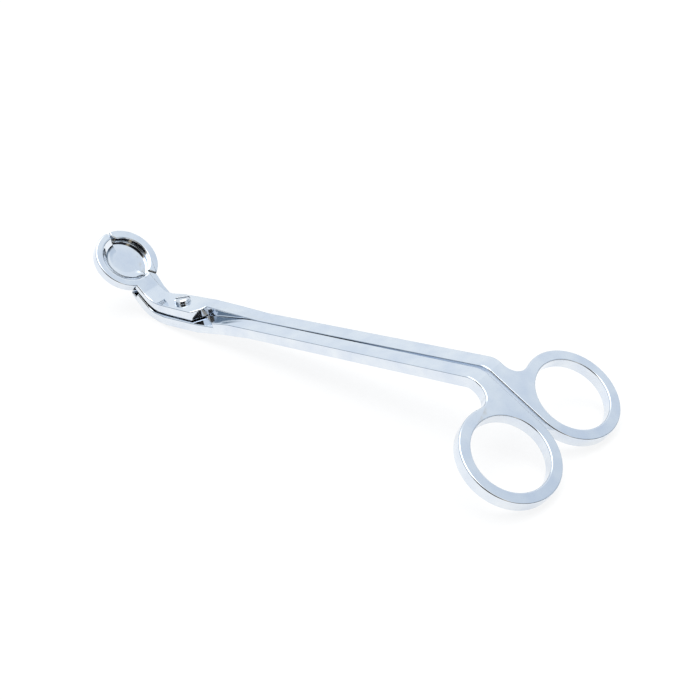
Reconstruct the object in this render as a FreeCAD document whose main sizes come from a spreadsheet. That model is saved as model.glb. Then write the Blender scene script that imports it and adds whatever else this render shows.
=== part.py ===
"""Wick trimmer: a pair of crossed levers on one slotted screw.

The tray lever ends in a shallow round tray with a raised C-shaped rim, which
catches the cut wick.  The blade lever ends in a crescent blade that closes the
open side of the rim.  Behind the pivot each lever is a long flat arm, bent
down at its end into a finger ring.

The levers are laid out in the lever frame: origin on the pivot axis, at the
height of the arms' top faces, +X towards the finger rings, +Y towards the
tray lever's arm, +Z along the pivot axis.  Two tilted frames hang on it:

  head frame    starts where the head bends up; its X runs up the neck to the
                tray and its Z points down through the tray
  handle frame  starts where the handles bend down; its X runs to the rings and
                its Z points up out of them

At the end every piece gets the same placement, which lays the trimmer on a
table the way it lies when it is put down: on its rings and on the head bend.
"""
import FreeCAD, Part
import os
import math
import Sketcher

V = FreeCAD.Vector
doc = FreeCAD.newDocument("wick_trimmer")

# ---------------------------------------------------------------- dimensions
# lengths in millimetres, angles in degrees
DIMENSIONS = [
    # arms
    ("thickness", 3.76),            # of the arms and the finger rings
    ("arm_reach", 120.0),           # pivot to the handle bend
    ("arm_width_front", 5.85),      # split line to outer edge, near the pivot
    ("arm_width_back", 6.37),       # the same at the handle bend
    ("arm_gap_front", 0.06),        # split line to inner edge, near the pivot
    ("arm_gap_back", 0.70),         # the same at the handle bend
    # pivot
    ("lap_thickness", 3.28),        # of each lever where the two cross
    ("lap_gap", 0.30),              # between the crossing levers, held by the washer
    ("lap_end", 8.80),              # pivot to the far corner of the lap
    ("lap_corner_length", 2.00),    # the slanted end past that corner
    ("lap_corner_out", 5.70),       # split line to the outer end of the slant
    ("lap_corner_in", 2.40),        # split line to its inner end
    ("shoulder", 11.20),            # pivot to the shoulder that clears the other lap
    ("upper_lap_front", 5.00),      # split line to the upper lap's arm side, at the neck
    ("upper_lap_back", 5.40),       # the same at the lap's other end
    ("upper_lap_right", 5.10),      # split line to the upper lap's other side
    ("lower_lap_front", 6.20),      # split line to the lower lap's arm side, at the neck
    ("lower_lap_back", 6.60),       # the same at the lap's other end
    ("lower_lap_left", 5.30),       # split line to the lower lap's other side
    ("flare_narrow", 11.50),        # pivot to where the necks start to widen
    ("flare_wide", 4.00),           # pivot to where they reach the laps' width
    ("ramp_start", 11.0),           # where the lap starts to run out into the arm
    ("ramp_end", 34.0),
    ("shank_radius", 2.00),
    ("shank_clearance", 0.05),
    ("head_clearance", 0.04),       # under the screw's head
    ("thread_radius", 1.70),
    ("screw_head_radius", 2.75),
    ("screw_head_height", 1.45),
    ("slot_width", 0.90),
    ("slot_depth", 0.75),
    ("slot_turn", 40.0),            # angle from the arms to the slot
    ("tip_recess", 0.15),           # the thread's end lies this far inside the lever
    ("tip_chamfer", 0.30),
    ("head_chamfer", 0.50),
    ("washer_radius", 4.40),
    # handles
    ("handle_drop", 38.3),          # angle by which the handles bend down
    ("web_start", 4.0),             # handle bend to the web, past the bend's arc
    ("handle_stub", 7.0),           # bend to the side profile's end, inside the web
    ("notch_radius", 5.0),          # where the ring leaves the arm's outer edge
    ("ring_reach", 22.42),          # handle bend to ring centre
    ("ring_offset", 16.90),         # split line to ring centre
    ("hole_across", 12.70),         # half the finger hole, side to side
    ("hole_along", 11.53),          # half the finger hole, front to back
    ("rim_across", 16.20),          # half the ring, side to side
    ("rim_along", 15.15),           # half the ring, front to back
    # head
    ("head_rise", 48.1),            # angle by which the head bends up
    ("head_bend", 10.18),           # pivot to the head bend
    ("tray_reach", 19.60),          # head bend to tray centre
    ("tray_radius", 11.25),
    ("tray_height", 3.33),
    ("dish_depth", 2.35),
    ("dish_floor_radius", 6.20),
    ("dish_rim_radius", 8.90),
    ("dish_curve", 5.0),            # where the dish's floor turns up into its wall
    ("neck_thickness", 2.00),
    ("neck_into_tray", 3.00),       # the neck's overlap with the tray
    ("neck_left", 3.30),            # split line to the tray neck's +Y side
    ("neck_right", 4.40),           # split line to the tray neck's -Y side
    ("lower_neck_right", 4.70),
    ("blade_radius", 11.25),
    ("blade_inner_radius", 8.15),
    ("cheek_gap", 0.35),            # tray neck to the cheek beside it
    ("cheek_thickness", 1.55),
    ("cheek_start", 1.5),           # head bend to the cheek
    ("cheek_flare", 6.0),           # head bend to where the cheek turns outwards
    ("cheek_depth", 4.40),          # tray face to the cheek's underside
    ("blade_gap", 0.12),            # under the crescent blade, above the tray floor
    ("cheek_step", 0.70),           # the blade's root lies this far below its top
    ("lower_neck_gap", 0.50),       # between the two necks, one over the other
    ("lower_neck_depth", 5.75),     # tray face to the lower neck's underside
    ("toe_start", -1.05),           # the lower neck's toe, from the tray's edge
    ("toe_end", 1.25),
    ("toe_gap", 0.72),              # under the tray, above the toe
    ("toe_lift", 0.95),             # the toe's underside above the lower neck's
    # bends, radius on the top and the under side
    ("upper_head_bend_top", 9.0),
    ("upper_head_bend_under", 10.0),
    ("lower_head_bend_top", 5.0),
    ("lower_head_bend_under", 11.0),
    ("handle_bend_top", 6.0),
    ("handle_bend_under", 3.0),
    # resting on a table
    ("rest_tilt", 7.63),            # arms to table, head end down
]

sheet = doc.addObject("Spreadsheet::Sheet", "Dims")
for row, (alias, value) in enumerate(DIMENSIONS, start=1):
    sheet.set("A%d" % row, alias)
    sheet.set("B%d" % row, str(value))
    sheet.setAlias("B%d" % row, alias)
doc.recompute()
SIZE = dict(DIMENSIONS)
FAR = 60.0            # past everything on the head and the arms' sides
PAST_TRAY = "14"      # from the tray's centre to past its edge


# ------------------------------------------------------------------- frames
def head_frame():
    """X up the neck, Y across, Z down through the tray."""
    turn = FreeCAD.Rotation(V(0, 1, 0), 180 + SIZE["head_rise"])
    place = FreeCAD.Placement(V(-SIZE["head_bend"], 0, 0), turn)
    bound = {"Base.x": "-Dims.head_bend", "Rotation.Angle": "180 + Dims.head_rise"}
    return place, bound


def handle_frame():
    """X out to the rings, Y across, Z up out of the rings."""
    turn = FreeCAD.Rotation(V(0, 1, 0), SIZE["handle_drop"])
    place = FreeCAD.Placement(V(SIZE["arm_reach"], 0, 0), turn)
    bound = {"Base.x": "Dims.arm_reach", "Rotation.Angle": "Dims.handle_drop"}
    return place, bound


# ------------------------------------------------------------------ helpers
def origin_plane(body, role):
    """The body's own origin plane with this role."""
    for feature in body.Origin.OriginFeatures:
        if feature.Role == role:
            return feature
    raise ValueError(role)


def add_sketch(body, name, frame=None, role="XY_Plane"):
    """An empty sketch on one of the body's origin planes, moved into a frame."""
    sketch = body.newObject("Sketcher::SketchObject", name)
    sketch.AttachmentSupport = [(origin_plane(body, role), "")]
    sketch.MapMode = "FlatFace"
    if frame is not None:
        place, bound = frame
        sketch.AttachmentOffset = place
        for part_of_it, formula in bound.items():
            sketch.setExpression("AttachmentOffset." + part_of_it, formula)
    return sketch


def bind(sketch, kind, *where, formula):
    """Add a dimension whose value follows a formula in the sheet's names."""
    index = sketch.addConstraint(Sketcher.Constraint(kind, *where))
    sketch.setExpression("Constraints[%d]" % index, formula)


def polygon(sketch, corners):
    """A closed outline; each corner starts with its two formulas."""
    count = len(corners)
    first = sketch.GeometryCount
    ring = []
    for step in range(count):
        angle = 2 * math.pi * step / count
        ring.append(V(math.cos(angle), math.sin(angle), 0))
    for step in range(count):
        sketch.addGeometry(Part.LineSegment(ring[step], ring[(step + 1) % count]), False)
    for step in range(count):
        following = first + (step + 1) % count
        sketch.addConstraint(Sketcher.Constraint("Coincident", first + step, 2, following, 1))
    for step, corner in enumerate(corners):
        bind(sketch, "DistanceX", -1, 1, first + step, 1, ring[step].x, formula=corner[0])
        bind(sketch, "DistanceY", -1, 1, first + step, 1, ring[step].y, formula=corner[1])


def circle(sketch, x, y, radius):
    """A circle; centre and radius are formulas."""
    index = sketch.addGeometry(Part.Circle(V(0, 0, 0), V(0, 0, 1), 1.0), False)
    bind(sketch, "DistanceX", -1, 1, index, 3, 0.0, formula=x)
    bind(sketch, "DistanceY", -1, 1, index, 3, 0.0, formula=y)
    bind(sketch, "Radius", index, 1.0, formula=radius)


def upright_ellipse(sketch, x, y, half_across, half_along):
    """An ellipse with its long axis across (along the sketch's Y)."""
    long_end = V(0, 2.0, 0)
    short_end = V(1.0, 0, 0)
    index = sketch.addGeometry(Part.Ellipse(long_end, short_end, V(0, 0, 0)), False)
    sketch.exposeInternalGeometry(index)
    long_axis = index + 1
    short_axis = index + 2
    bind(sketch, "DistanceX", -1, 1, index, 3, 0.0, formula=x)
    bind(sketch, "DistanceY", -1, 1, index, 3, 0.0, formula=y)
    sketch.addConstraint(Sketcher.Constraint("Vertical", long_axis))
    bind(sketch, "Distance", long_axis, 4.0, formula="2 * (%s)" % half_across)
    bind(sketch, "Distance", short_axis, 2.0, formula="2 * (%s)" % half_along)


def pad(body, sketch, name, length, reverse=False, midplane=False):
    """Add the sketch's outline as a slab."""
    feature = body.newObject("PartDesign::Pad", name)
    feature.Profile = sketch
    feature.Reversed = reverse
    feature.Midplane = midplane
    feature.setExpression("Length", length)
    return settle(feature, grows=True)


def pocket(body, sketch, name, length, reverse=False, midplane=False):
    """Cut the sketch's outline out of the body."""
    feature = body.newObject("PartDesign::Pocket", name)
    feature.Profile = sketch
    feature.Reversed = reverse
    feature.Midplane = midplane
    feature.setExpression("Length", length)
    return settle(feature, grows=False)


def fillet(body, name, radius, wanted):
    """Round every edge of the body's tip for which wanted(edge) is true."""
    tip = body.Tip
    chosen = []
    for number, edge in enumerate(tip.Shape.Edges, start=1):
        if wanted(edge):
            chosen.append("Edge%d" % number)
    if not chosen:
        raise RuntimeError(name + ": no edge to round")
    feature = body.newObject("PartDesign::Fillet", name)
    feature.Base = (tip, chosen)
    feature.setExpression("Radius", radius)
    doc.recompute()
    check(feature)
    body.Tip = feature
    return feature


def settle(feature, grows):
    """Recompute and make sure that the feature did add or remove material."""
    before = 0.0
    if feature.BaseFeature is not None:
        before = feature.BaseFeature.Shape.Volume
    doc.recompute()
    check(feature)
    change = feature.Shape.Volume - before
    if grows and change <= 0:
        raise RuntimeError("%s added nothing" % feature.Label)
    if not grows and change >= 0:
        raise RuntimeError("%s cut nothing" % feature.Label)
    return feature


def check(feature):
    """Stop if a feature failed or made a broken shape."""
    for state in feature.State:
        if state in ("Invalid", "Error"):
            raise RuntimeError("%s is %s" % (feature.Label, state))
    if feature.Shape.isNull() or not feature.Shape.isValid():
        raise RuntimeError("%s has a broken shape" % feature.Label)


# ------------------------------------------------------------ side profiles
# Heights of the four faces of the crossing levers, as formulas.
UPPER_TOP = "(Dims.lap_gap / 2 + Dims.lap_thickness - Dims.thickness / 2)"
UPPER_UNDER = "(Dims.lap_gap / 2 - Dims.thickness / 2)"
LOWER_TOP = "(-Dims.lap_gap / 2 - Dims.thickness / 2)"
LOWER_UNDER = "(-Dims.lap_gap / 2 - Dims.lap_thickness - Dims.thickness / 2)"
TRAY_EDGE = "(Dims.tray_reach - Dims.tray_radius)"
BLADE_DEPTH = "Dims.dish_depth - Dims.blade_gap"


def on_head(reach, height):
    """Side-view corner given along the neck and above the tray face."""
    x = "-Dims.head_bend - (%s) * cos(Dims.head_rise) + (%s) * sin(Dims.head_rise)"
    z = "(%s) * sin(Dims.head_rise) + (%s) * cos(Dims.head_rise)"
    return x % (reach, height), z % (reach, height)


def head_mitre(height, level):
    """Side-view corner where a neck face meets a level face of the lap."""
    x = "-Dims.head_bend + ((%s) - (%s) * cos(Dims.head_rise)) / sin(Dims.head_rise)"
    return x % (height, level), level


def on_handle(reach, height):
    """Side-view corner given along the handle and above its top face."""
    x = "Dims.arm_reach + (%s) * cos(Dims.handle_drop) + (%s) * sin(Dims.handle_drop)"
    z = "-(%s) * sin(Dims.handle_drop) + (%s) * cos(Dims.handle_drop)"
    return x % (reach, height), z % (reach, height)


def bend(corner, radius):
    """Mark a corner of a side profile as a bend; lever_blank rounds it."""
    return corner + (radius,)


def handle_bend():
    """The two faces of the handle bend, which both levers share."""
    under_x = "Dims.arm_reach - Dims.thickness * tan(Dims.handle_drop / 2)"
    return [
        bend(("Dims.arm_reach", "0"), "Dims.handle_bend_top"),
        on_handle("Dims.handle_stub", "0"),
        on_handle("Dims.handle_stub", "-Dims.thickness"),
        bend((under_x, "-Dims.thickness"), "Dims.handle_bend_under"),
    ]


def tray_lever_profile():
    """Upper lever from the side: neck, lap, ramp and arm."""
    neck_end = TRAY_EDGE + " + Dims.neck_into_tray"
    return [
        on_head(neck_end, "0"),
        bend(head_mitre("0", UPPER_TOP), "Dims.upper_head_bend_top"),
        ("Dims.ramp_start", UPPER_TOP),
        ("Dims.ramp_end", "0"),
    ] + handle_bend() + [
        ("Dims.shoulder", "-Dims.thickness"),
        ("Dims.shoulder", UPPER_UNDER),
        bend(head_mitre("-Dims.neck_thickness", UPPER_UNDER), "Dims.upper_head_bend_under"),
        on_head(neck_end, "-Dims.neck_thickness"),
    ]


def blade_lever_profile():
    """Lower lever from the side; its neck tapers out under the tray."""
    neck_top = "-Dims.neck_thickness - Dims.lower_neck_gap"
    neck_end = TRAY_EDGE + " + Dims.toe_start"
    toe_end = TRAY_EDGE + " + Dims.toe_end"
    toe_top = "-Dims.tray_height - Dims.toe_gap"
    return [
        on_head(neck_end, neck_top),
        bend(head_mitre(neck_top, LOWER_TOP), "Dims.lower_head_bend_top"),
        ("Dims.shoulder", LOWER_TOP),
        ("Dims.shoulder", "0"),
    ] + handle_bend() + [
        ("Dims.ramp_end", "-Dims.thickness"),
        ("Dims.ramp_start", LOWER_UNDER),
        bend(head_mitre("-Dims.lower_neck_depth", LOWER_UNDER), "Dims.lower_head_bend_under"),
        on_head(TRAY_EDGE + " / 2", "-Dims.lower_neck_depth"),
        on_head(TRAY_EDGE + " + Dims.toe_start", "-Dims.lower_neck_depth + Dims.toe_lift / 3"),
        on_head(toe_end, "-Dims.lower_neck_depth + Dims.toe_lift"),
        on_head(toe_end, toe_top),
        on_head(neck_end, toe_top),
    ]


# ------------------------------------------------------------- plan outlines
def across(side, formula):
    """A distance across the levers, on the side of the lever's own arm."""
    return formula if side > 0 else "-(%s)" % formula


def plan_edges(side):
    """The two long edges of one lever in plan, from the neck to the handle bend.

    side is +1 for the tray lever (arm at +Y) and -1 for the blade lever.
    Returns the edge on the arm's own side and the edge on the other side.
    """
    head_x = "-Dims.head_bend - %g" % (FAR / 2)
    arm_start_x = "2 * Dims.ramp_end / 3"
    bend_x = "Dims.arm_reach - Dims.web_start"
    tail_x = "Dims.arm_reach + 3 * Dims.web_start"
    if side > 0:
        own_edge = [
            (head_x, "Dims.neck_left"),
            ("-Dims.flare_narrow", "Dims.neck_left"),
            ("-Dims.flare_wide", "Dims.upper_lap_front"),
            ("Dims.lap_end", "Dims.upper_lap_back"),
        ]
        other_edge = [
            (head_x, "-Dims.neck_right"),
            ("-Dims.flare_narrow", "-Dims.neck_right"),
            ("-Dims.flare_wide", "-Dims.upper_lap_right"),
        ]
    else:
        own_edge = [
            (head_x, "-Dims.lower_neck_right"),
            ("-Dims.flare_narrow", "-Dims.lower_neck_right"),
            ("-Dims.flare_wide", "-Dims.lower_lap_front"),
            ("Dims.shoulder", "-Dims.lower_lap_back"),
        ]
        other_edge = [
            (head_x, "Dims.neck_left + Dims.cheek_gap + Dims.cheek_thickness"),
            ("-Dims.flare_wide", "Dims.lower_lap_left"),
        ]
    own_edge += [
        (arm_start_x, across(side, "Dims.arm_width_front")),
        (bend_x, across(side, "Dims.arm_width_back")),
        (tail_x, across(side, "Dims.arm_width_back")),
    ]
    other_edge += [
        ("Dims.lap_end", across(side, "-Dims.lap_corner_out")),
        ("Dims.lap_end + Dims.lap_corner_length", across(side, "-Dims.lap_corner_in")),
        ("Dims.shoulder", across(side, "Dims.arm_gap_front")),
        (bend_x, across(side, "Dims.arm_gap_back")),
        (tail_x, across(side, "Dims.arm_gap_back")),
    ]
    return own_edge, other_edge


def trim_to_plan(body, side):
    """Cut the blank's sides away down to the plan outline."""
    own_edge, other_edge = plan_edges(side)
    for name, edge, beyond in (("own", own_edge, side), ("other", other_edge, -side)):
        outside = "%d" % (beyond * FAR / 2)
        corners = edge + [(edge[-1][0], outside), (edge[0][0], outside)]
        sketch = add_sketch(body, "%s_side_plan" % name)
        polygon(sketch, corners)
        pocket(body, sketch, "%s_side_trim" % name, "%g" % (2 * FAR), midplane=True)


def lever_blank(body, profile):
    """The lever's side profile, wider than the lever, with its bends rounded."""
    sketch = add_sketch(body, "side_profile", role="XZ_Plane")
    polygon(sketch, profile)
    pad(body, sketch, "blank", "%g" % (FAR / 2), midplane=True)
    for number, corner in enumerate(profile):
        if len(corner) < 3:
            continue
        place = sketch.Geometry[number].StartPoint

        def at_corner(edge):
            ends = [vertex.Point for vertex in edge.Vertexes]
            off_axis = [math.hypot(end.x - place.x, end.z - place.y) for end in ends]
            return len(ends) == 2 and max(off_axis) < 0.02

        fillet(body, "bend_%d" % number, corner[2], at_corner)


# ---------------------------------------------------------------- pieces of a lever
def flip(side):
    """The lower lever's own frame, or the same turned upside down for the upper."""
    if side < 0:
        return FreeCAD.Placement()
    turn = FreeCAD.Rotation(V(1, 0, 0), 180)
    return FreeCAD.Placement(V(0, 0, -SIZE["thickness"]), turn)


def numbers(points):
    """Corners as formulas, from points worked out in numbers."""
    return [("%g" % x, "%g" % y) for x, y in points]


def cut_shoulder(body, side):
    """Free the other lever's lap: a flat seat, then a slanted run-out to the arm's face.

    Both are cut in the lower lever's frame, where the arm lies at -Y.
    """
    seat_depth = (SIZE["thickness"] + SIZE["lap_gap"]) / 2
    ridge_height = 0.38           # the run-out starts this far above the seat
    into_seat = 0.6               # and its cut reaches this far over the seat
    seat_in = V(SIZE["shoulder"], -1.2, 0)
    seat_out = V(SIZE["shoulder"] + 10.0, -7.56, 0)
    runout_in = V(SIZE["ramp_end"] - 2, -0.5, 0)
    runout_out = V(25.5, -6.5, 0)
    past_arm = (-4.0, 18.0)       # run-out's upper edge, to past the arm's two sides
    behind = SIZE["shoulder"] - 1

    sketch = add_sketch(body, "seat_outline", frame=(flip(side), {}))
    polygon(sketch, numbers([
        (behind, 2.0),
        (SIZE["shoulder"], 2.0),
        (seat_in.x, seat_in.y),
        (seat_out.x, seat_out.y),
        (behind, seat_out.y),
    ]))
    pocket(body, sketch, "seat", "%g" % seat_depth)

    along = runout_out - runout_in
    along.normalize()
    downhill = V(along.y, -along.x, 0)
    if downhill.x > 0:
        downhill = downhill * -1
    run = (seat_in - runout_in).dot(downhill)
    slope = math.degrees(math.atan2(seat_depth - ridge_height, run))
    yaw = math.degrees(math.atan2(downhill.y, downhill.x))
    turn = FreeCAD.Rotation(V(0, 0, 1), yaw) * FreeCAD.Rotation(V(0, 1, 0), slope)
    frame = flip(side) * FreeCAD.Placement(runout_in, turn)
    left = V(-downhill.y, downhill.x, 0)

    def in_slope(x, y):
        offset = V(x, y, 0) - runout_in
        return offset.dot(downhill) / math.cos(math.radians(slope)), offset.dot(left)

    sketch = add_sketch(body, "runout_outline", frame=(frame, {}))
    polygon(sketch, numbers([
        in_slope(seat_in.x - into_seat, seat_in.y),
        in_slope(seat_out.x - into_seat, seat_out.y),
        (0.0, past_arm[1]),
        (0.0, past_arm[0]),
        in_slope(seat_in.x - into_seat, 0.5),
    ]))
    pocket(body, sketch, "runout", "2 * Dims.thickness", reverse=True)


def add_finger_ring(body, side):
    """Web and oval ring in the handle frame."""
    sketch = add_sketch(body, "web_outline", frame=handle_frame())
    polygon(sketch, [
        ("Dims.web_start", across(side, "Dims.arm_gap_back")),
        ("Dims.ring_reach", across(side, "Dims.ring_offset - Dims.rim_across")),
        ("Dims.ring_reach", across(side, "Dims.arm_width_back")),
        ("Dims.web_start", across(side, "Dims.arm_width_back")),
    ])
    pad(body, sketch, "web", "Dims.thickness", reverse=True)
    sketch = add_sketch(body, "ring_outline", frame=handle_frame())
    centre = across(side, "Dims.ring_offset")
    upright_ellipse(sketch, "Dims.ring_reach", centre, "Dims.rim_across", "Dims.rim_along")
    pad(body, sketch, "ring", "Dims.thickness", reverse=True)
    sketch = add_sketch(body, "finger_hole_outline", frame=handle_frame())
    upright_ellipse(sketch, "Dims.ring_reach", centre, "Dims.hole_across", "Dims.hole_along")
    pocket(body, sketch, "finger_hole", "3 * Dims.thickness", midplane=True)


def add_tray(body):
    """Round tray: a disc with a dished top, its rim cut away on the blade's side."""
    sketch = add_sketch(body, "tray_outline", frame=head_frame())
    circle(sketch, "Dims.tray_reach", "0", "Dims.tray_radius")
    pad(body, sketch, "tray", "Dims.tray_height")

    upright = FreeCAD.Rotation(V(0, 0, -1), SIZE["head_rise"])
    bound = {
        "Base.x": "-Dims.head_bend - Dims.tray_reach * cos(Dims.head_rise)",
        "Base.y": "Dims.tray_reach * sin(Dims.head_rise)",
        "Rotation.Angle": "Dims.head_rise",
    }
    place = FreeCAD.Placement(V(0, 0, 0), upright)
    sketch = add_sketch(body, "dish_profile", frame=(place, bound), role="XZ_Plane")
    polygon(sketch, [
        ("0", "Dims.dish_depth"),
        ("0", "-Dims.dish_depth"),
        ("Dims.dish_floor_radius", "-Dims.dish_depth"),
        ("Dims.dish_rim_radius", "0"),
        ("Dims.dish_rim_radius", "Dims.dish_depth"),
    ])
    groove = body.newObject("PartDesign::Groove", "dish")
    groove.Profile = sketch
    groove.ReferenceAxis = (sketch, ["V_Axis"])
    groove.Angle = 360
    settle(groove, grows=False)

    def at_floor_edge(edge):
        round_edge = isinstance(edge.Curve, Part.Circle)
        return round_edge and round(edge.Curve.Radius, 3) == SIZE["dish_floor_radius"]

    fillet(body, "dish_curve", "Dims.dish_curve", at_floor_edge)

    sketch = add_sketch(body, "rim_opening_outline", frame=head_frame())
    centre = "Dims.tray_reach"
    far_end = centre + " + " + PAST_TRAY
    near_end = centre + " - " + PAST_TRAY
    polygon(sketch, [
        (far_end, "0"),
        (centre, "0"),
        (centre + " - Dims.dish_rim_radius", "Dims.neck_left"),
        (near_end, "Dims.neck_left"),
        (near_end, PAST_TRAY),
        (far_end, PAST_TRAY),
    ])
    pocket(body, sketch, "rim_opening", "Dims.dish_depth", reverse=True)


def add_cheek(body):
    """Plate that climbs beside the tray's neck and turns outwards at the tray."""
    inner_y = "Dims.neck_left + Dims.cheek_gap"
    outer_y = inner_y + " + Dims.cheek_thickness"
    flare = 0.1493                # the cheek widens this much for each mm past the flare
    sketch = add_sketch(body, "cheek_outline", frame=head_frame())
    polygon(sketch, [
        ("Dims.cheek_start", inner_y),
        (TRAY_EDGE, inner_y),
        (TRAY_EDGE + " + 1", outer_y + " + 0.50"),
        ("Dims.cheek_flare", outer_y),
        ("Dims.cheek_start", outer_y),
    ])
    pad(body, sketch, "cheek", "Dims.cheek_depth")

    sketch = add_sketch(body, "root_outline", frame=head_frame())
    root_start = -1.35
    root_turn = 1.65
    root_end = TRAY_EDGE + " + 2.6"
    polygon(sketch, [
        (TRAY_EDGE + " + %g" % root_start, inner_y),
        (root_end, inner_y),
        (root_end, outer_y),
        (TRAY_EDGE + " + %g" % root_turn, outer_y + " + %g" % (flare * (root_turn + 2.35))),
        (TRAY_EDGE + " + %g" % root_start, outer_y + " + %g" % (flare * (root_start + 2.35))),
    ])
    pad(body, sketch, "root", BLADE_DEPTH)


def add_crescent(body):
    """The blade: half a flat ring about the tray's centre, pointed at its far end."""
    centre = "Dims.tray_reach"
    inner_y = "Dims.neck_left + Dims.cheek_gap"
    far_end = centre + " + " + PAST_TRAY
    near_end = centre + " - " + PAST_TRAY
    sketch = add_sketch(body, "blade_outline", frame=head_frame())
    circle(sketch, centre, "0", "Dims.blade_radius")
    circle(sketch, centre, "0", "Dims.blade_inner_radius")
    pad(body, sketch, "blade_ring", BLADE_DEPTH)

    tip_out = "0.65"              # split line to the point, at its outer and inner side
    tip_in = "1.9"
    sketch = add_sketch(body, "blade_opening_outline", frame=head_frame())
    polygon(sketch, [
        (far_end, "2 * " + tip_out),
        (centre + " + Dims.blade_inner_radius + 1.45", tip_out),
        (centre + " + Dims.blade_inner_radius - 0.35", tip_in),
        (centre, "0"),
        (centre + " - Dims.blade_inner_radius + 1", inner_y),
        (near_end, inner_y),
        (near_end, "-" + PAST_TRAY),
        (far_end, "-" + PAST_TRAY),
    ])
    pocket(body, sketch, "blade_opening", BLADE_DEPTH, reverse=True)


def step_cheek(body):
    """Set the cheek's top below the blade's, with a slanted step between the two."""
    step_near = TRAY_EDGE + " + 1.35"
    step_far = TRAY_EDGE + " + 4.55"
    behind = "-Dims.head_bend"
    sketch = add_sketch(body, "cheek_step_outline", frame=head_frame())
    polygon(sketch, [
        (behind, "0"),
        (step_far, "0"),
        (step_far, "3.2"),
        (step_near, "6.2"),
        (step_near, PAST_TRAY),
        (behind, PAST_TRAY),
    ])
    pocket(body, sketch, "cheek_step", "Dims.cheek_step", reverse=True)


def bore(body, name, radius):
    """Round hole through the lever on the pivot axis."""
    sketch = add_sketch(body, name + "_outline")
    circle(sketch, "0", "0", radius)
    pocket(body, sketch, name, "%g" % FAR, midplane=True)


# ------------------------------------------------------------------ the pieces
def round_notch(body, side):
    """Round the notch where the ring leaves the arm's outer edge."""
    notch_y = side * SIZE["arm_width_back"]

    def at_notch(edge):
        ends = [vertex.Point for vertex in edge.Vertexes]
        upright = len(ends) == 2 and abs(ends[0].x - ends[1].x) > 0.5
        if not upright or edge.Length > 1.1 * SIZE["thickness"]:
            return False
        beside = all(abs(end.y - notch_y) < 0.02 for end in ends)
        return beside and min(end.x for end in ends) > SIZE["arm_reach"] + SIZE["web_start"]

    fillet(body, "ring_notch", "Dims.notch_radius", at_notch)


def new_body(label):
    """An empty body under its piece's name."""
    body = doc.addObject("PartDesign::Body", label)
    body.Label = label
    return body


def make_tray_lever():
    """Upper lever: tray, neck, upper lap, +Y arm and finger ring."""
    body = new_body("tray_lever")
    lever_blank(body, tray_lever_profile())
    trim_to_plan(body, side=+1)
    cut_shoulder(body, side=+1)
    add_finger_ring(body, side=+1)
    round_notch(body, side=+1)
    add_tray(body)
    bore(body, "pivot_bore", "Dims.shank_radius + Dims.shank_clearance")
    return body


def make_blade_lever():
    """Lower lever: crescent blade, cheek, lower lap, -Y arm and finger ring."""
    body = new_body("blade_lever")
    lever_blank(body, blade_lever_profile())
    trim_to_plan(body, side=-1)
    cut_shoulder(body, side=-1)
    add_finger_ring(body, side=-1)
    round_notch(body, side=-1)
    add_cheek(body)
    add_crescent(body)
    step_cheek(body)
    bore(body, "thread_bore", "Dims.thread_radius")
    return body


def make_pivot_screw():
    """Slotted shoulder screw, turned on the pivot axis."""
    body = new_body("pivot_screw")
    head_seat = UPPER_TOP + " + Dims.head_clearance"
    head_top = head_seat + " + Dims.screw_head_height"
    tip = LOWER_UNDER + " + Dims.tip_recess"
    sketch = add_sketch(body, "screw_profile", role="XZ_Plane")
    polygon(sketch, [
        ("0", head_top),
        ("0", tip),
        ("Dims.thread_radius - Dims.tip_chamfer", tip),
        ("Dims.thread_radius", tip + " + Dims.tip_chamfer"),
        ("Dims.thread_radius", LOWER_TOP),
        ("Dims.shank_radius", LOWER_TOP),
        ("Dims.shank_radius", head_seat),
        ("Dims.screw_head_radius", head_seat),
        ("Dims.screw_head_radius", head_top + " - Dims.head_chamfer"),
        ("Dims.screw_head_radius - Dims.head_chamfer", head_top),
    ])
    turned = body.newObject("PartDesign::Revolution", "turned")
    turned.Profile = sketch
    turned.ReferenceAxis = (sketch, ["V_Axis"])
    turned.Angle = 360
    settle(turned, grows=True)

    place = FreeCAD.Placement(V(0, 0, 0), FreeCAD.Rotation(V(0, 0, 1), SIZE["slot_turn"]))
    bound = {"Base.z": head_top, "Rotation.Angle": "Dims.slot_turn"}
    half_length = "2 * Dims.screw_head_radius"
    half_width = "Dims.slot_width / 2"
    sketch = add_sketch(body, "slot_outline", frame=(place, bound))
    polygon(sketch, [
        ("-" + half_length, "-" + half_width),
        (half_length, "-" + half_width),
        (half_length, half_width),
        ("-" + half_length, half_width),
    ])
    pocket(body, sketch, "slot", "Dims.slot_depth")
    return body


def make_pivot_washer():
    """Thin flat washer that holds the two laps apart."""
    body = new_body("pivot_washer")
    seat = {"Base.z": LOWER_TOP}
    sketch = add_sketch(body, "washer_outline", frame=(FreeCAD.Placement(), seat))
    circle(sketch, "0", "0", "Dims.washer_radius")
    circle(sketch, "0", "0", "Dims.shank_radius + Dims.shank_clearance")
    pad(body, sketch, "washer", "Dims.lap_gap - 0.02")
    return body


def lay_down(pieces):
    """Give all pieces the placement that rests the trimmer on the table.

    The origin ends up under the middle of the trimmer, on the table.
    """
    turn = FreeCAD.Rotation(V(0, 1, 0), -SIZE["rest_tilt"])
    box = FreeCAD.BoundBox()
    for piece in pieces:
        turned = piece.Shape.copy()
        turned.Placement = FreeCAD.Placement(V(0, 0, 0), turn)
        box.add(turned.optimalBoundingBox(False))
    shift = V(-box.Center.x, 0, -box.ZMin)
    for piece in pieces:
        piece.Placement = FreeCAD.Placement(shift, turn)
    doc.recompute()
    return shift


pieces = [make_tray_lever(), make_blade_lever(), make_pivot_screw(), make_pivot_washer()]
shift = lay_down(pieces)
print("pivot point", pieces[0].Placement.multVec(V(0, 0, 0)))

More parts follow.
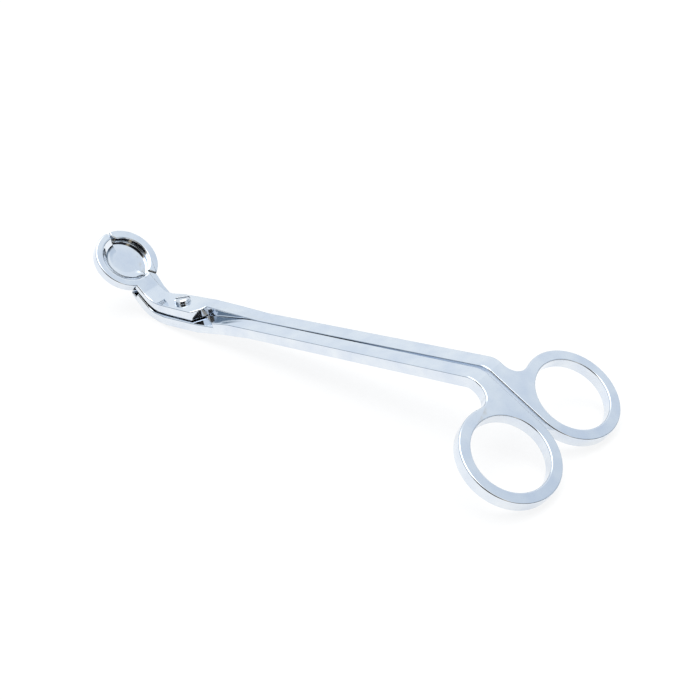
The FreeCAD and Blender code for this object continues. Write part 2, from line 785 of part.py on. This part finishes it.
os.makedirs("parts", exist_ok=True)
for piece in pieces:
    check(piece)
    piece.Shape.exportStep("parts/%s.step" % piece.Label)
    solids = len(piece.Shape.Solids)
    print(piece.Label, round(piece.Shape.Volume), "mm3", solids, "solid", piece.Shape.BoundBox)
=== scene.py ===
"""Wick trimmer, chrome plated, lying closed on a pale table.

Every piece is a copy of its CAD node with its sharp outer edges rounded, so
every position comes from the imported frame.
"""
import math

import bmesh
import bpy
from mathutils import Matrix, Vector


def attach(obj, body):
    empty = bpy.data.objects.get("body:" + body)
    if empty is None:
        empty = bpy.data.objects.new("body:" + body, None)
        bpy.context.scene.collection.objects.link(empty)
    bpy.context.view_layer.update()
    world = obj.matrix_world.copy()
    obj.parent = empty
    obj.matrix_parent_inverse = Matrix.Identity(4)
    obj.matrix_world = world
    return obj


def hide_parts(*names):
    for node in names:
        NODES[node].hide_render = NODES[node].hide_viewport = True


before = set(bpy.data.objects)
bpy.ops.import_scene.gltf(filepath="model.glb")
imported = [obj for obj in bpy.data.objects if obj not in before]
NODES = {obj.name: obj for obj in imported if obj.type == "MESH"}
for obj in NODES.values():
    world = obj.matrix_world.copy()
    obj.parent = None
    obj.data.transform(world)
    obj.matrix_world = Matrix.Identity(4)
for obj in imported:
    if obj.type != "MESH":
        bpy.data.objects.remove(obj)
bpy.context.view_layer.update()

MM = 0.001

# where the camera stands and looks, in metres
EYE = Vector((0.2131, -0.2448, 0.2060))
TARGET = Vector((0.0109, 0.0031, 0.0098))
ROLL = math.radians(3.61)

# colours of the tent that the plate mirrors
WALL = (0.88, 0.93, 0.98)
DIM_WALL = (0.62, 0.70, 0.80)
LOW_WALL = (0.17, 0.23, 0.30)
ROOF = (2.8, 2.8, 2.8)
BRONZE = (0.62, 0.50, 0.34)
BLACK = (0.01, 0.01, 0.012)

# directions in the tent, seen from the trimmer
FRONT_LEFT = (-0.68, -0.64, 0.35)
BACK_RIGHT = (0.60, 0.60, 0.52)
TO_CAMERA = EYE - TARGET

# how far a rounding reaches in from its edge
LEVER_EDGE = 0.45 * MM
SCREW_EDGE = 0.12 * MM
WASHER_EDGE = 0.05 * MM

SHARP = math.radians(32)      # outer edges turning more than this are rounded
CREASE = math.radians(9)      # other edges turning more than this stay crisp
STRIP = math.radians(30)      # a rounding's strips shade together below this
LEVEL = math.radians(0.6)     # faces turning less than this become one
ONWARD = math.radians(140)    # edges opening wider than this run on into each other
WELD = 0.002 * MM             # corners closer than this become one
ROOM = 0.42                   # share of a neighbouring edge that a rounding may take
FLAT_SHARE = 2.2              # a face this much larger than its facets is flat


# ---------------------------------------------------------------- materials
def node_material(name):
    """A new node material; returns it with its tree, shader and object coordinates."""
    material = bpy.data.materials.new(name)
    material.use_nodes = True
    tree = material.node_tree
    shader = tree.nodes["Principled BSDF"]
    place = tree.nodes.new("ShaderNodeTexCoord").outputs["Object"]
    return material, tree, shader, place


def noise(tree, place, scale, detail=3.0, stretch=(1, 1, 1)):
    """Noise in object space, scale in features per metre."""
    mapping = tree.nodes.new("ShaderNodeMapping")
    mapping.inputs["Scale"].default_value = stretch
    tree.links.new(place, mapping.inputs["Vector"])
    texture = tree.nodes.new("ShaderNodeTexNoise")
    texture.inputs["Scale"].default_value = scale
    texture.inputs["Detail"].default_value = detail
    tree.links.new(mapping.outputs["Vector"], texture.inputs["Vector"])
    return texture.outputs["Fac"]


def span(tree, value, low, high, start=0.3, end=0.7):
    """Map start..end of a value onto low..high."""
    node = tree.nodes.new("ShaderNodeMapRange")
    node.inputs["From Min"].default_value = start
    node.inputs["From Max"].default_value = end
    node.inputs["To Min"].default_value = low
    node.inputs["To Max"].default_value = high
    tree.links.new(value, node.inputs["Value"])
    return node.outputs["Result"]


def combine(tree, operation, first, second):
    """Arithmetic on two values, each a socket or a number."""
    node = tree.nodes.new("ShaderNodeMath")
    node.operation = operation
    for socket, value in zip(node.inputs, (first, second)):
        if isinstance(value, (int, float)):
            socket.default_value = value
        else:
            tree.links.new(value, socket)
    return node.outputs["Value"]


def tint(tree, value, dark, light):
    """Mix two colours by a 0..1 value; each is a colour or a colour socket."""
    node = tree.nodes.new("ShaderNodeMix")
    node.data_type = "RGBA"
    colours = [socket for socket in node.inputs if socket.type == "RGBA"]
    for socket, colour in zip(colours, (dark, light)):
        if isinstance(colour, tuple):
            socket.default_value = (*colour, 1)
        else:
            tree.links.new(colour, socket)
    tree.links.new(value, node.inputs["Factor"])
    return next(socket for socket in node.outputs if socket.type == "RGBA")


def bump(tree, shader, height, strength, distance):
    """Send a height to the shader's normal."""
    node = tree.nodes.new("ShaderNodeBump")
    node.inputs["Strength"].default_value = strength
    node.inputs["Distance"].default_value = distance
    tree.links.new(height, node.inputs["Height"])
    tree.links.new(node.outputs["Normal"], shader.inputs["Normal"])


def plated(name, dark, light, wear, smooth, rough, wave_height):
    """Bright plate with a clouded colour, worn edges, smudges, hairlines and a wavy polish.

    dark and light are the clouds' colours and wear the worn edges'; smooth and
    rough are the smudges' roughnesses.
    """
    material, tree, shader, place = node_material(name)
    shader.inputs["Metallic"].default_value = 1.0

    cloud = span(tree, noise(tree, place, 140, detail=5), 0, 1)
    plate = tint(tree, cloud, dark, light)
    edges = tree.nodes.new("ShaderNodeNewGeometry").outputs["Pointiness"]
    patches = span(tree, noise(tree, place, 520, detail=3), 0, 1, start=0.45, end=0.65)
    worn = combine(tree, "MULTIPLY", span(tree, edges, 0, 0.5, start=0.53, end=0.62), patches)
    tree.links.new(tint(tree, worn, plate, wear), shader.inputs["Base Color"])

    smudge = span(tree, noise(tree, place, 160, detail=5), smooth, rough)
    scratches = noise(tree, place, 900, detail=2, stretch=(0.06, 1, 1))
    hairline = span(tree, scratches, 0, 0.05, start=0.55, end=0.7)
    tree.links.new(combine(tree, "ADD", smudge, hairline), shader.inputs["Roughness"])

    wave = noise(tree, place, 110, detail=1)
    grain = noise(tree, place, 1500, detail=2)
    height = combine(tree, "ADD", wave, combine(tree, "MULTIPLY", grain, 0.02))
    bump(tree, shader, height, 1.0, wave_height)
    return material


def chrome():
    """The levers' plate."""
    return plated("chrome_plate", dark=(0.69, 0.75, 0.84), light=(0.82, 0.86, 0.90),
                  wear=(0.62, 0.58, 0.50), smooth=0.03, rough=0.11, wave_height=0.03 * MM)


def screw_chrome():
    """The screw's plate, greyer and duller."""
    return plated("screw_plate", dark=(0.68, 0.72, 0.76), light=(0.77, 0.80, 0.84),
                  wear=(0.55, 0.50, 0.42), smooth=0.07, rough=0.18, wave_height=0.02 * MM)


def spring_steel():
    """The washer's bare steel, with fine lines along the levers."""
    material, tree, shader, place = node_material("spring_steel")
    shader.inputs["Metallic"].default_value = 1.0
    lines = noise(tree, place, 2200, detail=3, stretch=(0.15, 1, 1))
    steel = tint(tree, lines, (0.42, 0.42, 0.43), (0.62, 0.61, 0.60))
    tree.links.new(steel, shader.inputs["Base Color"])
    tree.links.new(span(tree, lines, 0.22, 0.42), shader.inputs["Roughness"])
    bump(tree, shader, lines, 0.5, 0.004 * MM)
    return material


def floor_material():
    """A white table that glows a little itself, so that the shadows stay faint."""
    material, tree, shader, place = node_material("floor_card")
    shader.inputs["Roughness"].default_value = 0.7
    grain = noise(tree, place, 400, detail=2)
    card = tint(tree, grain, (0.18, 0.18, 0.18), (0.20, 0.20, 0.20))
    tree.links.new(card, shader.inputs["Base Color"])
    shader.inputs["Emission Color"].default_value = (1, 1, 1, 1)
    shader.inputs["Emission Strength"].default_value = 0.80
    return material


# ------------------------------------------------------------------- pieces
def carries_on(edge, other):
    """Whether two edges that share a vertex run on into each other."""
    shared = next(vertex for vertex in edge.verts if vertex in other.verts)
    away = edge.other_vert(shared).co - shared.co
    onward = other.other_vert(shared).co - shared.co
    return away.angle(onward) > ONWARD


def weigh_edges(form, width):
    """Mark the sharp outer edges for rounding, less where a short edge leaves no room."""
    weights = form.edges.layers.float.new("bevel_weight_edge")
    for edge in form.edges:
        if not edge.is_convex or edge.calc_face_angle(0) < SHARP:
            edge.smooth = edge.calc_face_angle(0) < CREASE
            continue
        room = width
        for vertex in edge.verts:
            for other in vertex.link_edges:
                if other is not edge and not carries_on(edge, other):
                    room = min(room, ROOM * other.calc_length())
        edge[weights] = room / width


def is_strip(face):
    """Whether a face belongs to a rounding; those are in the second material slot."""
    return face.material_index == 1


def runs_smooth(face, other):
    """Whether two faces that touch shade into each other."""
    limit = STRIP if is_strip(face) or is_strip(other) else CREASE
    return face.normal.angle(other.normal, math.pi) < limit


def is_flat(face, around):
    """Whether a face is a flat of the solid: much larger than the facets it runs into."""
    if is_strip(face):
        return False
    touching = {other.index: other for vertex in face.vertices for other in around[vertex]}
    del touching[face.index]
    facets = [other.area for other in touching.values()
              if not is_strip(other) and runs_smooth(face, other)]
    return face.area > FLAT_SHARE * max(facets, default=0)


def blended_normal(face, neighbours):
    """The normal at a corner, where larger faces count for much more."""
    blend = Vector()
    for other in neighbours:
        if runs_smooth(face, other):
            blend += other.normal * other.area ** 2
    return blend.normalized()


def set_normals(mesh):
    """Smooth shading that leaves every flat face flat, then back to one material slot."""
    around = [[] for _ in mesh.vertices]
    for face in mesh.polygons:
        for vertex in face.vertices:
            around[vertex].append(face)
    normals = []
    for face in mesh.polygons:
        flat = is_flat(face, around)
        for vertex in face.vertices:
            normals.append(face.normal.copy() if flat else blended_normal(face, around[vertex]))
    for face in mesh.polygons:
        face.material_index = 0
        face.use_smooth = True
    mesh.materials.pop(index=1)
    mesh.normals_split_custom_set(normals)


def prepare(mesh, width):
    """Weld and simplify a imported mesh, and weigh its edges for rounding."""
    form = bmesh.new()
    form.from_mesh(mesh)
    bmesh.ops.remove_doubles(form, verts=form.verts, dist=WELD)
    bmesh.ops.dissolve_limit(form, angle_limit=LEVEL, verts=form.verts, edges=form.edges)
    for face in form.faces:
        face.smooth = True
    weigh_edges(form, width)
    form.to_mesh(mesh)
    form.free()


def round_edges(piece, width):
    """Round the weighed edges, with the strips in the second material slot."""
    bevel = piece.modifiers.new("edges", "BEVEL")
    bevel.width = width
    bevel.segments = 4
    bevel.limit_method = "WEIGHT"
    bevel.use_clamp_overlap = False
    bevel.material = 1
    made = piece.evaluated_get(bpy.context.evaluated_depsgraph_get())
    finished = bpy.data.meshes.new_from_object(made)
    piece.modifiers.clear()
    piece.data = finished


def rounded_copy(node, body, material, width):
    """The node's solid as a clean mesh with its edges rounded."""
    mesh = NODES[node].data.copy()
    mesh.name = node + "_rounded"
    mesh.materials.clear()
    for _ in range(2):
        mesh.materials.append(material)
    piece = bpy.data.objects.new(node + "_rounded", mesh)
    bpy.context.scene.collection.objects.link(piece)
    prepare(mesh, width)
    round_edges(piece, width)
    set_normals(piece.data)
    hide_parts(node)
    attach(piece, body)


# ------------------------------------------------------------ light and view
def glow(tree, direction, heading, inner, outer):
    """1 within inner degrees of a heading, 0 beyond outer degrees."""
    aim = tree.nodes.new("ShaderNodeVectorMath")
    aim.operation = "DOT_PRODUCT"
    aim.inputs[1].default_value = Vector(heading).normalized()
    tree.links.new(direction, aim.inputs[0])
    near = math.cos(math.radians(inner))
    far = math.cos(math.radians(outer))
    return span(tree, aim.outputs["Value"], 0, 1, start=far, end=near)


def tent():
    """A cool tent: dark low down, bright overhead, black low on the right and at the camera.

    Heights are the vertical part of a direction, 0 at the horizon and 1 overhead.
    """
    world = bpy.data.worlds.new("tent")
    world.use_nodes = True
    bpy.context.scene.world = world
    tree = world.node_tree
    tree.nodes.clear()
    direction = tree.nodes.new("ShaderNodeTexCoord").outputs["Generated"]
    parts = tree.nodes.new("ShaderNodeSeparateXYZ")
    tree.links.new(direction, parts.inputs["Vector"])
    height = parts.outputs["Z"]

    # a dark wall that stands higher to the right and at the front left
    to_right = span(tree, parts.outputs["X"], 0, 1, start=0.45, end=0.65)
    front_left = glow(tree, direction, FRONT_LEFT, 18, 30)
    rise = combine(tree, "MULTIPLY", combine(tree, "MAXIMUM", to_right, front_left), 0.20)
    above = combine(tree, "SUBTRACT", height, combine(tree, "ADD", 0.22, rise))
    low_wall = tint(tree, to_right, LOW_WALL, BLACK)
    walls = tint(tree, span(tree, above, 0, 1, start=-0.10, end=0.04), low_wall, WALL)

    walls = tint(tree, glow(tree, direction, BACK_RIGHT, 12, 24), walls, DIM_WALL)
    walls = tint(tree, span(tree, height, 0, 1, start=0.83, end=0.92), walls, ROOF)
    walls = tint(tree, glow(tree, direction, TO_CAMERA, 31, 38), walls, BRONZE)
    walls = tint(tree, glow(tree, direction, TO_CAMERA, 25, 33), walls, BLACK)

    output = tree.nodes.new("ShaderNodeOutputWorld")
    back = tree.nodes.new("ShaderNodeBackground")
    tree.links.new(walls, back.inputs["Color"])
    tree.links.new(back.outputs["Background"], output.inputs["Surface"])
    bpy.context.scene.view_settings.view_transform = "Standard"


def camera():
    """The view from the finger rings' side, about 31 degrees down."""
    data = bpy.data.cameras.new("camera")
    data.lens = 62.6
    data.sensor_width = 36
    data.dof.use_dof = False
    eye = bpy.data.objects.new("camera", data)
    bpy.context.scene.collection.objects.link(eye)
    turn = (TARGET - EYE).to_track_quat("-Z", "Y").to_matrix()
    turn = turn @ Matrix.Rotation(-ROLL, 3, "Z")
    eye.matrix_world = Matrix.Translation(EYE) @ turn.to_4x4()
    bpy.context.scene.camera = eye


def floor():
    """A wide table under the trimmer."""
    bpy.ops.mesh.primitive_plane_add(size=60, location=(0, 0, 0))
    plane = bpy.context.object
    plane.name = "floor"
    plane.data.materials.append(floor_material())


plate = chrome()
rounded_copy("tray_lever", "tray_side", plate, LEVER_EDGE)
rounded_copy("blade_lever", "blade_side", plate, LEVER_EDGE)
rounded_copy("pivot_screw", "blade_side", screw_chrome(), SCREW_EDGE)
rounded_copy("pivot_washer", "blade_side", spring_steel(), WASHER_EDGE)

floor()
tent()
camera()
